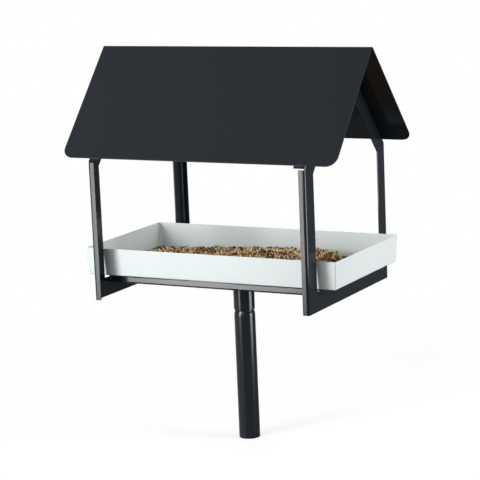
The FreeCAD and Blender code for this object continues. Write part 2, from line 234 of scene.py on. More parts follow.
def powder_coat(tree, tint, roughness, dust_and_shade=None):
    """Baked polyester powder: an even film with fine ripples, which bend the edges of reflections.

    A function for dust and painted shade, where given, adds the nodes that lay them over the film.
    """
    coats = settings().coats
    cloud, sheen_patch = 90 * MM, 35 * MM
    darkest, sheen_change = 0.93, 0.15
    film = add_node(tree, "ShaderNodeMix", {
        "Factor": spots(tree, cloud), "A": [channel * darkest for channel in tint], "B": tint},
        data_type="RGBA")
    ripples = spots(tree, coats.peel_width, detail=1.0)
    bump = add_node(tree, "ShaderNodeBump", {"Height": ripples, "Distance": coats.peel_depth})
    uneven = add_node(tree, "ShaderNodeMapRange", {
        "Value": spots(tree, sheen_patch), "To Min": roughness * (1 - sheen_change),
        "To Max": roughness * (1 + sheen_change)})
    return add_node(tree, "ShaderNodeBsdfPrincipled", {
        "Base Color": dust_and_shade(tree, film) if dust_and_shade else film, "IOR": 1.5, "Roughness": uneven,
        "Normal": bump})


def black_coat():
    coats = settings().coats
    return material_of("black_powder_coat", powder_coat, coats.black, coats.black_roughness)


def white_coat():
    coats = settings().coats
    return material_of("white_powder_coat", powder_coat, coats.white, coats.white_roughness, dust_and_fold_shade)


def dust_and_fold_shade(tree, film):
    """The coat with dust on the tray's floor, and painted shade darkening the folds at the walls' feet."""
    low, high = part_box("seed_tray")
    coats, sheets = settings().coats, settings().sheets
    floor_level = low[2] + sheets.tray_sheet
    place = add_node(tree, "ShaderNodeTexCoord").outputs["Object"]
    up = add_node(tree, "ShaderNodeSeparateXYZ", {0: place}).outputs["Z"]
    # Only near the floor: dust on the floor, and painted shade on the lowest part of the walls
    dust = add_node(tree, "ShaderNodeMapRange", {
        "Value": up, "From Min": floor_level + coats.dust_and_shade_height,
        "From Max": floor_level + coats.dust_and_shade_height / 2})
    gathered = add_node(tree, "ShaderNodeMapRange", {
        "Value": spots(tree, coats.dust_patch), "To Min": 0.0, "To Max": 0.9})
    across = add_node(tree, "ShaderNodeVectorMath", {0: place}, operation="ABSOLUTE")
    sides = add_node(tree, "ShaderNodeSeparateXYZ", {0: across}).outputs
    # Painted shade: the dust colour at full strength along the walls' feet, darkening the folds
    for axis, half in (("X", high[0]), ("Y", high[1])):
        wall = half - sheets.tray_flare - sheets.tray_sheet / 2
        fold = add_node(tree, "ShaderNodeMapRange", {
            "Value": sides[axis], "From Min": wall - coats.fold_shade_width,
            "From Max": wall - coats.fold_shade_width / 2})
        gathered = add_node(tree, "ShaderNodeMath", {0: gathered, 1: fold}, operation="MAXIMUM")
        inside = add_node(tree, "ShaderNodeMath", {0: sides[axis], 1: wall}, operation="LESS_THAN")
        dust = add_node(tree, "ShaderNodeMath", {0: dust, 1: inside}, operation="MULTIPLY")
    dust_and_shade = add_node(tree, "ShaderNodeMath", {0: dust, 1: gathered}, operation="MULTIPLY")
    return add_node(tree, "ShaderNodeMix", {"Factor": dust_and_shade, "A": film, "B": coats.dust}, data_type="RGBA")


def zinc_plate(tree):
    """Electroplated zinc: bright metal with a fine grain and faint blue and straw-coloured patches."""
    # The real grain is finer. This one shows in a close view
    grain_width, grain_depth, patch = 0.25 * MM, 0.004 * MM, 3 * MM
    straw_green, straw_blue = 0.95, 0.82
    zinc = settings().coats.zinc
    straw = (zinc[0], zinc[1] * straw_green, zinc[2] * straw_blue)
    grain = spots(tree, grain_width, detail=3.0)
    tint = add_node(tree, "ShaderNodeMix", {
        "Factor": spots(tree, patch), "A": zinc, "B": straw}, data_type="RGBA")
    roughness = add_node(tree, "ShaderNodeMapRange", {"Value": grain, "To Min": 0.24, "To Max": 0.42})
    bump = add_node(tree, "ShaderNodeBump", {"Height": grain, "Distance": grain_depth})
    return add_node(tree, "ShaderNodeBsdfPrincipled", {
        "Base Color": tint, "Metallic": 1.0, "Roughness": roughness, "Normal": bump})


def add_object(name, data):
    """Adds an object with this mesh, lamp or camera to the scene."""
    obj = bpy.data.objects.new(name, data)
    bpy.context.scene.collection.objects.link(obj)
    return obj


def piece(name, mesh, material, body, slot, *nodes):
    """Shows a mesh as a piece on a body, in place of CAD nodes."""
    obj = add_object(name, mesh)
    mesh.materials.clear()
    mesh.materials.append(material)
    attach(obj, body)
    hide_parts(*nodes)


def finished_mesh(obj):
    """The mesh that an object's modifiers make, with none of them left."""
    graph = bpy.context.evaluated_depsgraph_get()
    mesh = bpy.data.meshes.new_from_object(obj.evaluated_get(graph), preserve_all_data_layers=True,
                                           depsgraph=graph)
    obj.modifiers.clear()
    return mesh


def welded_copy(node_name):
    """A CAD node's shape as a closed mesh whose flat sides are single faces."""
    work = bmesh.new()
    work.from_mesh(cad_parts[node_name].data)
    bmesh.ops.remove_doubles(work, verts=work.verts, dist=0.002 * MM)
    bmesh.ops.dissolve_limit(work, angle_limit=math.radians(0.4), verts=work.verts, edges=work.edges)
    return work


def mesh_of(work, name):
    """Turns the work mesh into a mesh and frees it."""
    mesh = bpy.data.meshes.new(name)
    work.to_mesh(mesh)
    work.free()
    return mesh


def lofted(rings, around=False):
    """A closed skin through rings of points, each counter-clockwise seen from the last ring's side.

    A ring of one point is a tip. With around set, the last ring joins the first, as in a washer.
    """
    work = bmesh.new()
    rows = [[work.verts.new(point) for point in points] for points in rings]
    for low, high in zip(rows, rows[1:] + rows[:1] if around else rows[1:]):
        for i in range(max(len(low), len(high))):
            corners = (low[i % len(low)], low[(i + 1) % len(low)],
                       high[(i + 1) % len(high)], high[i % len(high)])
            work.faces.new(dict.fromkeys(corners))
    if not around:
        for row in (rows[0][::-1], rows[-1]):
            if len(row) > 2:
                work.faces.new(row)
    return work


def ring(sides, radius_and_height):
    """Points round the Z axis. The function gives the radius and the height at each turn."""
    points = []
    for i in range(sides):
        turn = math.tau * i / sides
        radius, height = radius_and_height(turn)
        points.append((radius * math.cos(turn), radius * math.sin(turn), height))
    return points


def smooth(mesh, sharper_than=35):
    """Smooth shading, but not over edges where faces meet at more than this many degrees."""
    for face in mesh.polygons:
        face.use_smooth = True
    mesh.set_sharp_from_angle(angle=math.radians(sharper_than))


def eased(work, name, radius, segments=2, sharper_than=40):
    """Turns the work mesh into a mesh whose sharp edges are rounded, and frees it."""
    mesh = mesh_of(work, name)
    obj = add_object(name, mesh)
    bevel = obj.modifiers.new("eased_edges", "BEVEL")
    bevel.width = radius
    bevel.segments = segments
    bevel.limit_method = "ANGLE"
    bevel.angle_limit = math.radians(sharper_than)
    bevel.harden_normals = True
    made = finished_mesh(obj)
    bpy.data.objects.remove(obj)
    bpy.data.meshes.remove(mesh)
    made.name = name
    return made


class BIRDTABLE_OT_sheets(bpy.types.Operator):
    """Gives the roof, frames, rails and bearer their eased edges and black coat"""

    bl_idname = "birdtable.sheets"
    bl_label = "Folded Sheets"

    def execute(self, context):
        radius = settings().sheets.eased_edge
        names = {"roof_panel": "roof_sheet", "end_frame_left": "left_frame",
                 "end_frame_right": "right_frame", "front_rail": "front_channel",
                 "rear_rail": "rear_channel", "centre_bearer": "bearer", "socket_plate": "pole_plate"}
        for node_name, name in names.items():
            mesh = eased(welded_copy(node_name), name, radius)
            piece(name, mesh, black_coat(), "head", "anthracite_coat", node_name)
        return {"FINISHED"}


class BIRDTABLE_OT_tray(bpy.types.Operator):
    """Folds the white tray, with an open seam at each corner"""

    bl_idname = "birdtable.tray"
    bl_label = "Seed Tray"

    def execute(self, context):
        mesh = eased(tray_walls(), "tray", settings().sheets.eased_edge)
        piece("tray", mesh, white_coat(), "tray", "white_coat", "seed_tray")
        return {"FINISHED"}


def tray_section(half):
    """One wall's section as (outward, up) points: outside and inside, from the floor to the rim.

    The inside points are those of the outside, a sheet's thickness in.
    """
    low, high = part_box("seed_tray")
    sheets = settings().sheets
    sheet, height = sheets.tray_sheet, high[2] - low[2]
    lean = math.atan2(sheets.tray_flare, height)
    outside_bend = sheets.tray_bend + sheet
    centre = half - sheets.tray_flare - outside_bend * (1 - math.sin(lean)) / math.cos(lean)
    steps = 7
    bends = ([], [])
    for step in range(steps + 1):
        turn = -math.pi / 2 + (math.pi / 2 - lean) * step / steps
        for bend, radius in zip(bends, (outside_bend, sheets.tray_bend)):
            bend.append((centre + radius * math.cos(turn), low[2] + outside_bend + radius * math.sin(turn)))
    bends[0].append((half, high[2]))
    bends[1].append((half - sheet / math.cos(lean), high[2]))
    return bends


def tray_walls():
    """The tray's floor and four folded walls, whose ends meet in an open mitre above the fold."""
    half_length, half_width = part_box("seed_tray")[1][:2]
    gap = settings().sheets.corner_gap / math.sqrt(2)
    work = bmesh.new()
    floors = ([], [])
    for turn in range(4):
        half, sideways = (half_length, half_width) if turn % 2 else (half_width, half_length)
        to_wall = Matrix.Rotation(turn * math.pi / 2, 3, "Z")
        skins = []
        for side, points in enumerate(tray_section(half)):
            rows = []
            for k, (out, up) in enumerate(points):
                opened = gap * min(1.0, k / (len(points) - 2))
                end = sideways - (half - out) - opened
                row = [to_wall @ Vector((across, -out, up)) for across in (-end, end)]
                rows.append([work.verts.new(point) for point in row])
            floors[side].append(rows[0])
            skins.append(rows)
        outside, inside = skins
        for out_low, out_high, in_low, in_high in zip(outside, outside[1:], inside, inside[1:]):
            work.faces.new((*out_low, *reversed(out_high)))
            work.faces.new((*reversed(in_low), *in_high))
            work.faces.new((out_low[1], in_low[1], in_high[1], out_high[1]))
            work.faces.new((out_low[0], out_high[0], in_high[0], in_low[0]))
        work.faces.new((*outside[-1], *reversed(inside[-1])))
    work.faces.new([row[0] for row in reversed(floors[0])])
    work.faces.new([row[0] for row in floors[1]])
    bmesh.ops.remove_doubles(work, verts=work.verts, dist=0.001 * MM)
    return work


class BIRDTABLE_OT_pole(bpy.types.Operator):
    """Coats the pole and its socket, with the weld that joins the socket to its plate"""

    bl_idname = "birdtable.pole"
    bl_label = "Pole"

    def execute(self, context):
        for node_name in ("pole_section", "socket_tube"):
            finish(node_name, black_coat())
        weld = mesh_of(weld_bead(), "weld_bead")
        smooth(weld)
        piece("weld_bead", weld, black_coat(), "head", "anthracite_coat", "socket_weld")
        return {"FINISHED"}


def finish(node_name, material):
    """Gives a CAD node's surface this material."""
    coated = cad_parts[node_name]
    coated.data.materials.clear()
    coated.data.materials.append(material)


def weld_bead():
    """A fillet weld round the socket, with the overlapping ripples of one slow pass."""
    low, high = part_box("socket_weld")
    fixings = settings().fixings
    leg = high[2] - low[2]
    inner = high[0] - leg
    ripples, steps_each, across = fixings.weld_ripples, 6, 7
    lag, trough, bulge = 0.9, 0.8, 0.08 * leg
    sides = ripples * steps_each

    def bead(rise, turn):
        """Radius and height of the bead at a share of its rise."""
        swell = math.sin(math.pi * rise)
        phase = (ripples * turn / math.tau + lag * swell) % 1.0
        ripple = fixings.weld_ripple_height * swell * (phase ** 0.5 - trough)
        out = (ripple + bulge * swell) / math.sqrt(2)
        return inner + leg * rise + out, low[2] + leg * rise - out

    rings = [ring(sides, lambda turn: bead(k / across, turn)) for k in range(across + 1)]
    rings.append(ring(sides, lambda turn: (inner, high[2])))
    return lofted(rings, around=True)


def solids(node_name):
    """Each solid of a CAD node. Height is along its axis, and width along its side direction.

    The axis is square to the solid's largest flat face, and side to its largest face beside the axis.
    """
    square_to_axis = 0.05
    work = welded_copy(node_name)
    found = []
    for start in work.faces:
        if start.tag:
            continue
        start.tag = True
        faces = [start]
        for face in faces:
            for beside in (other for edge in face.edges for other in edge.link_faces):
                if not beside.tag:
                    beside.tag = True
                    faces.append(beside)
        axis = max(faces, key=lambda face: face.calc_area()).normal.copy()
        flanks = [face for face in faces if abs(face.normal.dot(axis)) < square_to_axis]
        side = max(flanks, key=lambda face: face.calc_area()).normal.copy()
        directions = axis, side, axis.cross(side)
        points = [corner.co for face in faces for corner in face.verts]
        spans = [(min(p.dot(d) for p in points), max(p.dot(d) for p in points)) for d in directions]
        centre = sum((d * (low + high) / 2 for d, (low, high) in zip(directions, spans)), Vector())
        height, width = (high - low for low, high in spans[:2])
        found.append(Solid(centre, axis, side, height, width))
    work.free()
    return found


def hex_nut(width, height, thread):
    """A hexagon nut with both faces chamfered and its thread's mouth countersunk."""
    slope = math.tan(settings().fixings.chamfer)
    flat_radius = 0.475 * width
    bore = thread / 2
    sink = 0.08 * thread
    mouth = bore + sink
    sides = 36

    def hexagon(turn):
        return width / 2 / math.cos((turn + math.pi / 6) % (math.pi / 3) - math.pi / 6)

    def chamfered(radius):
        return height / 2 - max(0.0, radius - flat_radius) * slope

    levels = [(hexagon, lambda r: -chamfered(r)), (hexagon, chamfered), (lambda t: flat_radius, chamfered),
              (lambda t: mouth, chamfered), (lambda t: bore, lambda r: height / 2 - sink),
              (lambda t: bore, lambda r: sink - height / 2), (lambda t: mouth, lambda r: -height / 2),
              (lambda t: flat_radius, lambda r: -height / 2)]
    rings = [ring(sides, lambda turn: (radius_at(turn), height_at(radius_at(turn))))
             for radius_at, height_at in levels]
    return lofted(rings, around=True)


def threaded_rod(width, height):
    """A rod with a coarse metric thread and chamfered ends."""
    # Close to the coarse pitch of small metric threads
    pitch = 0.1 * MM + 0.15 * width
    depth = settings().fixings.thread_depth * pitch
    sides, steps = 18, 4
    count = max(2, round(height / pitch * steps))
    crest = width / 2

    def radius_at(up, turn):
        wave = abs(2 * ((up / pitch - turn / math.tau) % 1.0) - 1)
        return min(crest - depth * wave, height / 2 - abs(up) + crest - depth)

    heights = [height * (k / count - 0.5) for k in range(count + 1)]
    return lofted([ring(sides, lambda turn: (radius_at(up, turn), up)) for up in heights])


def node_group(name, inputs):
    """An empty geometry tree with these named inputs, and the sockets that give them."""
    tree = bpy.data.node_groups.new(name, "GeometryNodeTree")
    tree.interface.new_socket("Geometry", in_out="INPUT", socket_type="NodeSocketGeometry")
    tree.interface.new_socket("Geometry", in_out="OUTPUT", socket_type="NodeSocketGeometry")
    for label, kind in inputs.items():
        tree.interface.new_socket(label, in_out="INPUT", socket_type=f"NodeSocket{kind}")
    return tree, tree.nodes.new("NodeGroupInput").outputs


def end_group(tree, given, copies):
    """Ends a geometry tree: its copies become one real mesh of the given material."""
    solid = add_node(tree, "GeometryNodeRealizeInstances", {"Geometry": copies})
    finished = add_node(tree, "GeometryNodeSetMaterial", {"Geometry": solid, "Material": given["Material"]})
    add_node(tree, "NodeGroupOutput", {"Geometry": finished})
    return tree


def copied(tree, mesh, shape, values):
    """The plain mesh that a geometry tree makes of a shape's copies on a mesh.

    Values holds what the tree's other named inputs are given.
    """
    carrier, sample = add_object("carrier", mesh), add_object("sample", shape)
    modifier = carrier.modifiers.new(tree.name, "NODES")
    modifier.node_group = tree
    sockets = {item.name: item.identifier for item in tree.interface.items_tree if item.in_out == "INPUT"}
    for label, value in {"Shape": sample, **values}.items():
        modifier[sockets[label]] = value
    made = finished_mesh(carrier)
    for obj in (carrier, sample):
        bpy.data.objects.remove(obj)
    return made


def copies_tree():
    """Sets a copy of a shape at each point, turned by the point's axis and side."""
    tree, given = node_group("copies_at_places", {"Shape": "Object", "Material": "Material"})
    turned = (0.0, 0.0, 0.0)
    for attribute, axis, pivot in (("axis", "Z", "AUTO"), ("side", "X", "Z")):
        towards = add_node(tree, "GeometryNodeInputNamedAttribute", {"Name": attribute},
                           data_type="FLOAT_VECTOR")
        turned = add_node(tree, "FunctionNodeAlignRotationToVector",
                          {"Rotation": turned, "Vector": towards}, axis=axis, pivot_axis=pivot)
    shape = add_node(tree, "GeometryNodeObjectInfo", {"Object": given["Shape"]})
    placed = add_node(tree, "GeometryNodeInstanceOnPoints",
                      {"Points": given["Geometry"], "Instance": shape.outputs["Geometry"],
                       "Rotation": turned})
    return end_group(tree, given, placed)


class BIRDTABLE_OT_fixings(bpy.types.Operator):
    """Threads the studs, chamfers the nuts and plates all fasteners"""

    bl_idname = "birdtable.fixings"
    bl_label = "Fasteners"

    def execute(self, context):
        plate, tree = material_of("bright_zinc_plate", zinc_plate), copies_tree()
        for node_name in ("roof_washers", "bearer_screws", "plate_bolts", "plate_washers"):
            finish(node_name, plate)
        # Each kind of nut, with the studs that have its thread
        nuts = {"roof_nuts": "roof_studs", "rail_nuts": "rail_studs", "bearer_nuts": "roof_studs",
                "plate_nuts": None}
        thread_share = 0.6
        fasteners = []
        for node_name, stud_name in nuts.items():
            nut = solids(node_name)[0]
            thread = solids(stud_name)[0].width if stud_name else thread_share * nut.width
            fasteners.append((node_name, "nuts", hex_nut(nut.width, nut.height, thread)))
        for node_name in ("roof_studs", "rail_studs"):
            stud = solids(node_name)[0]
            fasteners.append((node_name, "threads", threaded_rod(stud.width, stud.height)))
        for node_name, word, work in fasteners:
            mesh = set_out(tree, mesh_of(work, "shape"), solids(node_name), plate)
            piece(f"{node_name}_{word}", mesh, plate, "head", "zinc_plate", node_name)
        return {"FINISHED"}


def set_out(tree, shape, places, plate):
    """One mesh with a plated copy of a fastener's shape at every place."""
    smooth(shape, sharper_than=25)
    points = bpy.data.meshes.new("places")
    points.from_pydata([place.centre for place in places], [], [])
    for name in ("axis", "side"):
        values = points.attributes.new(name, "FLOAT_VECTOR", "POINT").data
        for value, place in zip(values, places):
            value.vector = getattr(place, name)
    return copied(tree, points, shape, {"Material": plate})


def heap_surface():
    """A function for the bed's height at x and y: the heap's solid less its loose grains, with lumps."""
    low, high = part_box("seed_mix")
    seed = settings().seed
    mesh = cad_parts["seed_mix"].data
    solid = BVHTree.FromPolygons([corner.co for corner in mesh.vertices],
                                 [face.vertices for face in mesh.polygons])
    down, above = Vector((0, 0, -1)), 2 * high[2] - low[2]
    reach = seed.lump_width / 2
    corner = seed.end_corner
    lesser, finer = 0.5, 2.3
    around = [(reach * a, reach * b) for a in (-1, 0, 1) for b in (-1, 0, 1)]

    def heap(x, y):
        struck = solid.ray_cast(Vector((x, y, above)), down)[0]
        return struck.z if struck else low[2]

    def height(x, y):
        mean = sum(heap(x + a, y + b) for a, b in around) / len(around)
        past = math.hypot(max(0.0, x - high[0] + corner), max(0.0, abs(y) - high[1] + corner))
        rounding = math.sqrt(max(0.0, 1 - (past / corner) ** 4))
        full = (min(mean, heap(x, y)) - low[2]) * rounding - seed.grain_layer
        spot = Vector((x, y, 0.0)) / seed.lump_width
        lumps = noise.noise(spot) + lesser * noise.noise(spot * finer)
        return low[2] + max(0.0, full + seed.unevenness * lumps * min(1.0, full / seed.grain_layer))

    return height


def seed_bed(with_floor=False):
    """The body of the heap. Its dark surface shows between the grains, as painted shade of the gaps.

    With the floor beside it, each face holds how much of it the grains cover.
    """
    low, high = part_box("seed_mix")
    seed = settings().seed
    surface = heap_surface()
    work = bmesh.new()

    def steps(k):
        """Even steps across the heap, along X where k is 0 and along Y where it is 1."""
        count = round((high[k] - low[k]) / seed.bed_cell)
        return [low[k] + (high[k] - low[k]) * i / count for i in range(count + 1)]

    grid = [[work.verts.new((x, y, surface(x, y))) for y in steps(1)] for x in steps(0)]
    for near, far in zip(grid, grid[1:]):
        for corners in zip(near, far, far[1:], near[1:]):
            work.faces.new(corners)
    if with_floor:
        cover = work.faces.layers.float.new("cover")
        for face in work.faces:
            depth = face.calc_center_median().z - low[2]
            face[cover] = max(seed.spilled, min(1.0, depth / seed.thin_end))
        for face in beside_heap(work, low, high):
            face[cover] = seed.spilled
    else:
        rim = [line[0] for line in grid] + grid[-1][1:-1] + [line[-1] for line in reversed(grid)]
        work.faces.new(reversed(rim + grid[0][-2:0:-1]))
    return mesh_of(work, "seed_bed")


def beside_heap(work, low, high):
    """Adds and yields four faces of the tray's floor round the heap."""
    sheets = settings().sheets
    set_in = 2 * (sheets.tray_flare + sheets.tray_sheet)
    tray_low, tray_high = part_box("seed_tray")
    inner = low[0], low[1], high[0], high[1]
    outer = tray_low[0] + set_in, tray_low[1] + set_in, tray_high[0] - set_in, tray_high[1] - set_in
    rows = []
    for left, front, right, rear in (inner, outer):
        corners = (left, front), (right, front), (right, rear), (left, rear)
        rows.append([work.verts.new((x, y, low[2])) for x, y in corners])
    for i in range(4):
        j = (i + 1) % 4
        yield work.faces.new((rows[1][i], rows[1][j], rows[0][j], rows[0][i]))


def oval_grain(long, wide, thick, sides=6, crease=0.0):
    """A grain that narrows to both ends. A crease above 0 dents it along one side, as on wheat."""
    # Places along the grain and its girth there, as shares of its length and its widest part
    profile = ((-0.5, 0.0), (-0.36, 0.6), (-0.05, 1.0), (0.3, 0.72), (0.5, 0.0))
    rings = []
    for along, size in profile:
        if size == 0.0:
            rings.append([(0.0, 0.0, along * long)])
            continue
        oval = []
        for i in range(sides):
            turn = math.tau * i / sides
            dent = 1 - crease * (i == 0)
            oval.append((size * dent * thick / 2 * math.cos(turn), size * wide / 2 * math.sin(turn),
                         along * long))
        rings.append(oval)
    return lofted(rings)


def cracked_grain(width):
    """A broken piece of maize: a small lump with uneven flat sides."""
    mean, uneven, facets, flat = 0.85, 0.4, 3.1, 0.75
    work = bmesh.new()
    bmesh.ops.create_icosphere(work, subdivisions=1, radius=width / 2)
    for corner in work.verts:
        corner.co *= mean + uneven * noise.noise(corner.co / width * facets)
        corner.co.z *= flat
    return work


def scatter_tree():
    """Lays turned copies of a grain over upward faces, as one share of all the grains there."""
    inputs = {"Shape": "Object", "Spacing": "Float", "From": "Float", "To": "Float", "Tilt": "Float",
              "Smallest": "Float", "Lift": "Float", "Patch Width": "Float", "Mixing": "Float",
              "Seed": "Int", "Material": "Material"}
    tree, given = node_group("scattered_grains", inputs)

    def drawn(low, high, offset):
        """A random value of each grain. No two draws have the same offset."""
        return add_node(tree, "FunctionNodeRandomValue", {"Min": low, "Max": high, "Seed": offset},
                        data_type="FLOAT")

    least_upward, crowding, turns_of_kinds, least_raised = 0.02, 6.0, 3.0, 0.15

    # Where grains lie
    up = add_node(tree, "ShaderNodeSeparateXYZ", {0: add_node(tree, "GeometryNodeInputNormal")})
    upward = add_node(tree, "FunctionNodeCompare", {0: up.outputs["Z"], 1: least_upward},
                      operation="GREATER_THAN")
    spacing = given["Spacing"]
    area = add_node(tree, "ShaderNodeMath", {0: spacing, 1: spacing}, operation="MULTIPLY")
    most = add_node(tree, "ShaderNodeMath", {0: crowding, 1: area}, operation="DIVIDE")
    cover = add_node(tree, "GeometryNodeInputNamedAttribute", {"Name": "cover"})
    spread_out = add_node(tree, "GeometryNodeDistributePointsOnFaces",
                          {"Mesh": given["Geometry"], "Selection": upward,
                           "Distance Min": spacing, "Density Max": most, "Density Factor": cover,
                           "Seed": given["Seed"]}, distribute_method="POISSON")

    # Which of them are of this kind
    per_metre = add_node(tree, "ShaderNodeMath", {0: 1.0, 1: given["Patch Width"]}, operation="DIVIDE")
    patches = add_node(tree, "ShaderNodeTexNoise", {"Scale": per_metre, "Detail": 1.0})
    kind = add_node(tree, "ShaderNodeMath",
                    {0: patches, 1: turns_of_kinds, 2: drawn(0.0, given["Mixing"], 11)},
                    operation="MULTIPLY_ADD")
    lot = add_node(tree, "ShaderNodeMath", {0: kind}, operation="FRACT")
    above = add_node(tree, "FunctionNodeCompare", {0: lot, 1: given["From"]},
                     operation="GREATER_EQUAL")
    below = add_node(tree, "FunctionNodeCompare", {0: lot, 1: given["To"]}, operation="LESS_THAN")
    ours = add_node(tree, "FunctionNodeBooleanMath", {0: above, 1: below}, operation="AND")

    # How each of those lies
    tilt = add_node(tree, "ShaderNodeMath", {0: drawn(-1.0, 1.0, 23), 1: given["Tilt"]},
                    operation="MULTIPLY")
    lying = add_node(tree, "ShaderNodeMath", {0: tilt, 1: math.pi / 2}, operation="ADD")
    angles = add_node(tree, "ShaderNodeCombineXYZ", {"X": 0.0, "Y": lying, "Z": drawn(0.0, math.tau, 31)})
    own = add_node(tree, "FunctionNodeEulerToRotation", {0: angles})
    turned = add_node(tree, "FunctionNodeRotateRotation",
                      {"Rotation": spread_out.outputs["Rotation"], "Rotate By": own},
                      rotation_space="LOCAL")
    shape = add_node(tree, "GeometryNodeObjectInfo", {"Object": given["Shape"]})
    size = drawn(given["Smallest"], 1.0, 47)
    placed = add_node(tree, "GeometryNodeInstanceOnPoints",
                      {"Points": spread_out.outputs["Points"], "Selection": ours,
                       "Instance": shape.outputs["Geometry"], "Rotation": turned, "Scale": size})

    # Its tone, and its height in the layer
    toned = add_node(tree, "GeometryNodeStoreNamedAttribute",
                     {"Geometry": placed, "Name": "tone", "Value": drawn(0.0, 1.0, 59)},
                     data_type="FLOAT", domain="INSTANCE")
    height = add_node(tree, "ShaderNodeMath", {0: drawn(least_raised, 1.0, 67), 1: given["Lift"]},
                      operation="MULTIPLY")
    upwards = add_node(tree, "ShaderNodeCombineXYZ", {"Z": height})
    raised = add_node(tree, "GeometryNodeTranslateInstances",
                      {"Instances": toned, "Translation": upwards, "Local Space": False})
    return end_group(tree, given, raised)


def husk(tree, light, dark):
    """Dry seed coat: dull, each grain of its own tone, with fine streaks."""
    light, dark = linear(light), linear(dark)
    # Wider than the streaks of the small kinds, so that they show
    streak_width, streak_depth = 0.9 * MM, 0.15 * MM
    tone = add_node(tree, "ShaderNodeAttribute", attribute_name="tone").outputs["Fac"]
    tint = add_node(tree, "ShaderNodeMix", {"Factor": tone, "A": dark, "B": light}, data_type="RGBA")
    streaks = spots(tree, streak_width, detail=3.0)
    streak = add_node(tree, "ShaderNodeMapRange", {"Value": streaks, "To Min": 0.0, "To Max": 0.5})
    streaked = add_node(tree, "ShaderNodeMix", {"Factor": streak, "A": tint, "B": dark}, data_type="RGBA")
    bump = add_node(tree, "ShaderNodeBump", {"Height": streaks, "Distance": streak_depth})
    return add_node(tree, "ShaderNodeBsdfPrincipled", {
        "Base Color": streaked, "IOR": 1.35, "Roughness": 0.7, "Normal": bump})


def bed_dust_and_gap_shade(tree):
    """Small broken seed and dust, darkened as painted shade of the gaps between grains where it shows."""
    crumb_width, crumb_height = 1.6 * MM, 1.0 * MM
    crumbs = spots(tree, crumb_width, detail=3.0)
    contrast = add_node(tree, "ShaderNodeMapRange", {"Value": crumbs, "To Min": -0.6, "To Max": 1.6})
    # The dark tones are seed dust and also painted shade for the gaps between grains
    tint = add_node(tree, "ShaderNodeMix", {
        "Factor": contrast, "A": linear("#3A2816"), "B": linear("#80603A")}, data_type="RGBA")
    bump = add_node(tree, "ShaderNodeBump", {"Height": crumbs, "Distance": crumb_height})
    return add_node(tree, "ShaderNodeBsdfPrincipled", {
        "Base Color": tint, "Roughness": 0.8, "Normal": bump})


class BIRDTABLE_OT_seed(bpy.types.Operator):
    """Heaps the tray with mixed seed: wheat, oats, maize, millet, sorghum and sunflower"""

    bl_idname = "birdtable.seed"
    bl_label = "Seed"

    def execute(self, context):
        seed = settings().seed
        # The bed's dark colour is painted shade for the gaps between the grains, over seed dust
        dust = material_of("seed_dust_and_gap_shade", bed_dust_and_gap_shade)
        piece("seed_bed", seed_bed(), dust, "tray", "bird_seed", "seed_mix")
        # Each kind's grain, its share of all grains, how far it may tilt, and its husk's name and tones
        grains = {
            "wheat": (oval_grain(7.4 * MM, 3.6 * MM, 3.1 * MM, crease=0.35), 0.27, 0.9,
                      "wheat_husk", "#F2D5A4", "#A37541"),
            "oats": (oval_grain(11.0 * MM, 2.4 * MM, 1.9 * MM), 0.17, 1.5,
                     "oat_husk", "#FFF4DE", "#E6D0A8"),
            "maize": (cracked_grain(5.6 * MM), 0.13, 1.4, "maize_heart", "#F0CC80", "#BE9044"),
            "millet": (oval_grain(3.0 * MM, 2.8 * MM, 2.7 * MM), 0.13, 1.0,
                       "millet_husk", "#F4E6C2", "#C29C60"),
            "sorghum": (oval_grain(4.4 * MM, 4.0 * MM, 3.8 * MM), 0.14, 1.0,
                        "sorghum_husk", "#C08A6C", "#744434"),
            "sunflower": (oval_grain(10.5 * MM, 5.4 * MM, 3.4 * MM, sides=8), 0.16, 1.0,
                          "sunflower_hull", "#8A6A42", "#38281A"),
        }
        tree, ground = scatter_tree(), seed_bed(with_floor=True)
        share_from = 0.0
        for name, (work, portion, tilt, husk_name, light, dark) in grains.items():
            coat = material_of(husk_name, husk, light, dark)
            values = {"Spacing": seed.grain_spacing, "From": share_from, "To": share_from + portion,
                      "Tilt": tilt, "Smallest": seed.smallest, "Lift": seed.grain_layer,
                      "Patch Width": seed.patch_width, "Mixing": 1 - seed.patchiness,
                      "Seed": seed.random_seed, "Material": coat}
            share_from += portion
            heap = copied(tree, ground.copy(), mesh_of(work, "grain"), values)
            piece(name, heap, coat, "tray", "bird_seed", "seed_mix")
        return {"FINISHED"}


def softbox(name, azimuth, distance, height, width, tall, radiance, corner=None):
    """An upright lamp that faces the pole's axis from an azimuth in degrees.

    With corner, its corners are rounded by this radius and its edge is soft.
    """
    lamp = bpy.data.lights.new(name, "AREA")
    lamp.shape = "RECTANGLE"
    lamp.size, lamp.size_y = width, tall
    lamp.energy = radiance * math.pi * width * tall
    obj = add_object(name, lamp)
    turn = math.radians(azimuth)
    obj.location = (distance * math.sin(turn), -distance * math.cos(turn), height)
    obj.rotation_euler = (math.radians(90), 0.0, turn)
    obj.visible_camera = False
    if corner:
        rounded_corners(lamp, obj.location, turn, corner)


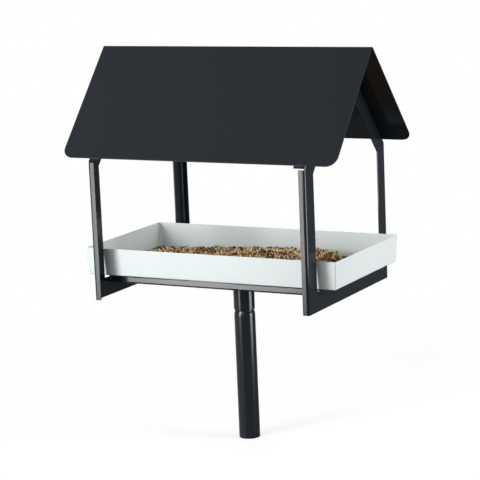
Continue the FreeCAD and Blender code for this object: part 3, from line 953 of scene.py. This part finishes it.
def rounded_corners(lamp, centre, turn, corner):
    """Darkens a lamp's corners outside a radius, with a soft edge a third of that radius wide."""
    soft_edge = corner / 3
    lamp.use_nodes = True
    tree = lamp.node_tree
    tree.nodes.clear()
    place = add_node(tree, "ShaderNodeNewGeometry")
    apart = add_node(tree, "ShaderNodeVectorMath", {0: place, 1: centre}, operation="SUBTRACT")
    level, upright = (math.cos(turn), math.sin(turn), 0.0), (0.0, 0.0, 1.0)
    past = []
    for way, half in ((level, lamp.size / 2), (upright, lamp.size_y / 2)):
        along = add_node(tree, "ShaderNodeVectorMath", {0: apart, 1: way}, operation="DOT_PRODUCT")
        off = add_node(tree, "ShaderNodeMath", {0: along}, operation="ABSOLUTE")
        over = add_node(tree, "ShaderNodeMath", {0: off, 1: half - corner}, operation="SUBTRACT")
        past.append(add_node(tree, "ShaderNodeMath", {0: over, 1: 0.0}, operation="MAXIMUM"))
    away = add_node(tree, "ShaderNodeCombineXYZ", {"X": past[0], "Y": past[1]})
    radius = add_node(tree, "ShaderNodeVectorMath", {0: away}, operation="LENGTH")
    lit = add_node(tree, "ShaderNodeMapRange", {
        "Value": radius, "From Min": corner - soft_edge, "From Max": corner, "To Min": 1.0, "To Max": 0.0},
        interpolation_type="SMOOTHSTEP")
    glow = add_node(tree, "ShaderNodeEmission", {"Strength": lit})
    add_node(tree, "ShaderNodeOutputLight", {"Surface": glow})


def camera():
    """The camera at the photograph's place, with its centre and focal length in a 480 pixel frame."""
    studio = settings().studio
    yaw, pitch, roll = studio.camera_yaw, studio.camera_pitch, studio.camera_roll
    ahead = Vector((-math.sin(yaw) * math.cos(pitch), math.cos(yaw) * math.cos(pitch), math.sin(pitch)))
    level = Vector((math.cos(yaw), math.sin(yaw), 0.0))
    up = level.cross(ahead)
    right = level * math.cos(roll) + up * math.sin(roll)
    upright = up * math.cos(roll) - level * math.sin(roll)
    lens = bpy.data.cameras.new("camera")
    frame_pixels = 480
    lens.lens = studio.focal_pixels * lens.sensor_width / frame_pixels
    middle_pixel = (frame_pixels - 1) / 2
    lens.shift_x = (middle_pixel - studio.centre_pixel_x) / frame_pixels
    lens.shift_y = (studio.centre_pixel_y - middle_pixel) / frame_pixels
    obj = add_object("camera", lens)
    place = Matrix((right, upright, -ahead)).transposed().to_4x4()
    place.translation = studio.camera_place
    obj.matrix_world = place
    bpy.context.scene.camera = obj


def room():
    """White behind the object, and dim light that is strongest from above at the left."""
    world = bpy.data.worlds.new("studio")
    bpy.context.scene.world = world
    world.use_nodes = True
    tree = world.node_tree
    tree.nodes.clear()
    studio = settings().studio
    way = add_node(tree, "ShaderNodeTexCoord").outputs["Generated"]
    ways = add_node(tree, "ShaderNodeSeparateXYZ", {0: way}).outputs
    left_ends, right_starts = -0.6, -0.36
    ceiling = add_node(tree, "ShaderNodeMapRange", {
        "Value": ways["X"], "From Min": left_ends, "From Max": right_starts,
        "To Min": studio.ceiling_light, "To Max": studio.ceiling_right})
    ground_ends, ceiling_starts = -0.3, 0.5
    light = add_node(tree, "ShaderNodeMapRange", {
        "Value": ways["Z"], "From Min": ground_ends, "From Max": ceiling_starts,
        "To Min": studio.ground_light, "To Max": ceiling}, interpolation_type="SMOOTHSTEP")
    turn = studio.backdrop_azimuth
    middle = (math.sin(turn), -math.cos(turn), 0.0)
    behind = add_node(tree, "ShaderNodeVectorMath", {0: way, 1: middle}, operation="DOT_PRODUCT")
    # The backdrop fades in between these cosines of the angle from its middle
    edge, white = 0.88, 0.94
    backdrop = add_node(tree, "ShaderNodeMapRange", {
        "Value": behind, "From Min": edge, "From Max": white})
    ray = add_node(tree, "ShaderNodeLightPath").outputs
    mirrored = add_node(tree, "ShaderNodeMath", {0: ray["Is Glossy Ray"], 1: ray["Is Transmission Ray"]},
                        operation="MAXIMUM")
    shown = add_node(tree, "ShaderNodeMath", {0: mirrored, 1: backdrop, 2: ray["Is Camera Ray"]},
                     operation="MULTIPLY_ADD")
    strength = add_node(tree, "ShaderNodeMapRange", {"Value": shown, "To Min": light, "To Max": 1.0})
    sky = add_node(tree, "ShaderNodeBackground", {"Color": (1.0, 1.0, 1.0), "Strength": strength})
    add_node(tree, "ShaderNodeOutputWorld", {"Surface": sky})


def floor():
    """A floor that the object neither mirrors nor takes light from."""
    half_width, just_below = 30.0, -0.2 * MM
    work = bmesh.new()
    bmesh.ops.create_grid(work, x_segments=1, y_segments=1, size=half_width)
    obj = add_object("floor", mesh_of(work, "floor"))
    obj.data.materials.append(material_of("white_floor", white_floor))
    obj.location.z = just_below
    obj.visible_diffuse = False
    obj.visible_glossy = False
    obj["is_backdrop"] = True


def white_floor(tree):
    """Plain white with a faint shadow round the pole, and clear from below."""
    shadow_fades, shadow_ends = 0.3, 0.9
    place = add_node(tree, "ShaderNodeTexCoord").outputs["Object"]
    reach = add_node(tree, "ShaderNodeVectorMath", {0: place}, operation="LENGTH")
    far = add_node(tree, "ShaderNodeMapRange", {
        "Value": reach, "From Min": shadow_fades, "From Max": shadow_ends}, interpolation_type="SMOOTHSTEP")
    strength = add_node(tree, "ShaderNodeMapRange", {"Value": far, "To Min": 0.75, "To Max": 1.0})
    glow = add_node(tree, "ShaderNodeEmission", {"Strength": strength})
    matt = add_node(tree, "ShaderNodeBsdfDiffuse", {"Color": (0.35, 0.35, 0.35)})
    near = add_node(tree, "ShaderNodeAddShader", {0: glow, 1: matt})
    above = add_node(tree, "ShaderNodeMixShader", {0: far, 1: near, 2: glow})
    below = add_node(tree, "ShaderNodeNewGeometry").outputs["Backfacing"]
    clear = add_node(tree, "ShaderNodeBsdfTransparent")
    return add_node(tree, "ShaderNodeMixShader", {0: below, 1: above, 2: clear})


class BIRDTABLE_OT_studio(bpy.types.Operator):
    """Sets up the floor, soft lights and camera"""

    bl_idname = "birdtable.studio"
    bl_label = "Studio"

    def execute(self, context):
        context.scene.view_settings.view_transform = "Standard"
        camera()
        room()
        floor()
        softbox("key_softbox", azimuth=-27, distance=1.6, height=0.475, width=0.52, tall=1.31,
                radiance=10.0, corner=0.16)
        softbox("right_softbox", azimuth=101, distance=1.6, height=0.49, width=0.85, tall=1.46,
                radiance=6.8)
        softbox("left_reflector", azimuth=-66, distance=1.4, height=-0.14, width=4.6, tall=0.98,
                radiance=0.24)
        softbox("upper_softbox", azimuth=-16, distance=1.8, height=0.9, width=1.2, tall=0.75,
                radiance=3.7)
        softbox("rear_softbox", azimuth=-145, distance=2.4, height=1.6, width=1.6, tall=1.6,
                radiance=1.5)
        return {"FINISHED"}


class BIRDTABLE_PT_panel(bpy.types.Panel):
    """Lists the steps that dress the bird table"""

    bl_idname = "BIRDTABLE_PT_panel"
    bl_label = "Bird Table"
    bl_space_type = "VIEW_3D"
    bl_region_type = "UI"
    bl_category = "Bird Table"

    def draw(self, context):
        for operator in OPERATORS:
            self.layout.operator(operator.bl_idname)


GROUPS = (BirdTableCoats, BirdTableSheets, BirdTableSeed, BirdTableFixings, BirdTableStudio,
          BirdTableSettings)
OPERATORS = (BIRDTABLE_OT_sheets, BIRDTABLE_OT_tray, BIRDTABLE_OT_seed, BIRDTABLE_OT_fixings,
             BIRDTABLE_OT_pole, BIRDTABLE_OT_studio)


def register():
    for kind in (*GROUPS, *OPERATORS, BIRDTABLE_PT_panel):
        bpy.utils.register_class(kind)
    bpy.types.Scene.bird_table = PointerProperty(type=BirdTableSettings)


def unregister():
    del bpy.types.Scene.bird_table
    for kind in reversed((*GROUPS, *OPERATORS, BIRDTABLE_PT_panel)):
        bpy.utils.unregister_class(kind)


def main():
    register()
    bpy.ops.birdtable.sheets()
    bpy.ops.birdtable.tray()
    bpy.ops.birdtable.seed()
    bpy.ops.birdtable.fixings()
    bpy.ops.birdtable.pole()
    bpy.ops.birdtable.studio()
    boxes = {"cad": cad_bounds, "visual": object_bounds()}
    {name: [list(corner) for corner in box] for name, box in boxes.items()}


if __name__ == "__main__":
    main()
